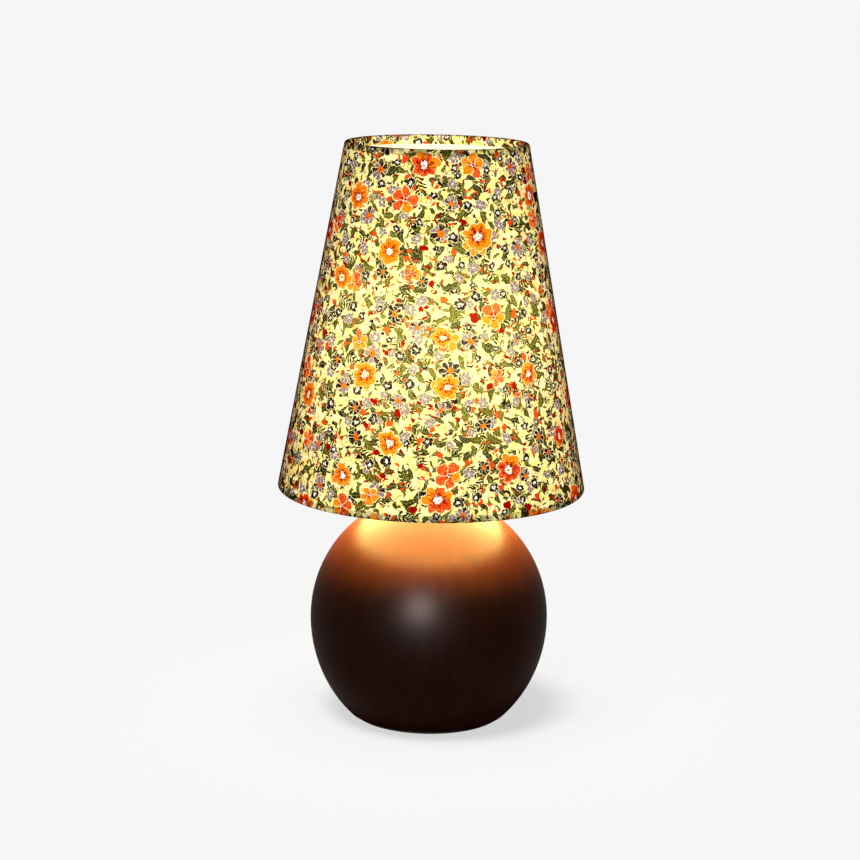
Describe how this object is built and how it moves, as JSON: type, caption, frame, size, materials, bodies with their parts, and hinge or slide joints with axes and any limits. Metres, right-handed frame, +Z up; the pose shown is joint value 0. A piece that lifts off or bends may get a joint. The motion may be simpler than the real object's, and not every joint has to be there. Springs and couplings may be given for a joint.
{
  "type": "table lamp",
  "caption": "Table lamp with a satin dark brown turned wooden ball as its base and a tapered fabric shade, printed with small flowers, on a wire fitter round a switched screw lampholder.",
  "frame": {"origin": "centre of the felt foot ring's underside, on the table", "axes": "+Z up along the lamp's axis, -Y front, the shade's seam and the cable inlet at the back (+Y), the switch bar along X"},
  "size_m": [0.2, 0.2, 0.3777],
  "materials": {
    "dark_lacquered_wood": "satin lacquer, near-black brown",
    "black_felt": "felt",
    "brown_fibreboard": "matt",
    "zinc_plated_steel": "zinc plated",
    "brass": "bright",
    "white_thermoplastic": "satin",
    "white_ceramic": "fired",
    "black_plastic": "satin",
    "floral_print_cotton": "printed plain weave, pale yellow ground",
    "white_liner": "translucent film",
    "white_coated_wire": "powder coated",
    "opal_glass": "opal",
    "nickel_plated_brass": "nickel plated",
    "black_glass": "opaque",
    "solder": "dull",
    "clear_glass": "clear",
    "yellow_phosphor": "coated"
  },
  "bodies": {
    "base": {"ball_body": "dark_lacquered_wood", "felt_ring": "black_felt", "bottom_plate": "brown_fibreboard", "plate_screw_1": "zinc_plated_steel", "plate_screw_2": "zinc_plated_steel", "plate_screw_3": "zinc_plated_steel", "cable_bush": "black_plastic", "threaded_tube": "zinc_plated_steel", "tube_washer": "zinc_plated_steel", "tube_nut": "zinc_plated_steel", "neck_plate": "brass", "neck_nut": "brass", "holder_cap": "white_thermoplastic", "grub_screw": "zinc_plated_steel", "holder_skirt": "white_thermoplastic", "contact_block": "white_ceramic", "terminal_screw_1": "brass", "terminal_screw_2": "brass", "thread_shell": "brass", "centre_contact": "brass"},
    "switch": {"switch_bar": "white_thermoplastic"},
    "bulb_tip": {"bulb_contact": "solder", "bulb_insulator": "black_glass"},
    "bulb": {"bulb_cap": "nickel_plated_brass", "bulb_glass": "opal_glass", "bulb_stem": "clear_glass", "filament_1": "yellow_phosphor", "filament_2": "yellow_phosphor", "filament_3": "yellow_phosphor", "filament_4": "yellow_phosphor"},
    "ring_slip": {"slip_washer": "zinc_plated_steel"},
    "ring": {"shade_ring": "white_thermoplastic"},
    "shade": {"shade_cover": "floral_print_cotton", "shade_liner": "white_liner", "seam_lap": "floral_print_cotton", "top_rim_wire": "white_coated_wire", "bottom_rim_wire": "white_coated_wire", "fitter_ring": "white_coated_wire", "fitter_arm_1": "white_coated_wire", "fitter_arm_2": "white_coated_wire", "fitter_arm_3": "white_coated_wire"}
  },
  "joints": [
    {"name": "switch_push", "type": "slide", "parent": "base", "child": "switch", "axis": [1, 0, 0], "range_m": [-0.008, 0]},
    {"name": "bulb_rise", "type": "slide", "parent": "base", "child": "bulb_tip", "axis": [0, 0, 1], "range_m": [0, 0.02]},
    {"name": "bulb_turn", "type": "hinge", "parent": "bulb_tip", "child": "bulb", "pos_m": [0, 0, 0.18607], "axis": [0, 0, 1], "range_deg": [0, 1980]},
    {"name": "ring_rise", "type": "slide", "parent": "base", "child": "ring_slip", "axis": [0, 0, 1], "range_m": [0, 0.012]},
    {"name": "ring_turn", "type": "hinge", "parent": "ring_slip", "child": "ring", "pos_m": [0, 0, 0.18467], "axis": [0, 0, 1], "range_deg": [0, 1700]},
    {"name": "shade_turn", "type": "hinge", "parent": "base", "child": "shade", "pos_m": [0, 0, 0.15287], "axis": [0, 0, 1], "continuous": true}
  ],
  "couplings": [
    {"joint": "bulb_rise", "follows": "bulb_turn", "m_per_rad": 0.00057757},
    {"joint": "ring_rise", "follows": "ring_turn", "m_per_rad": 0.00039789}
  ]
}
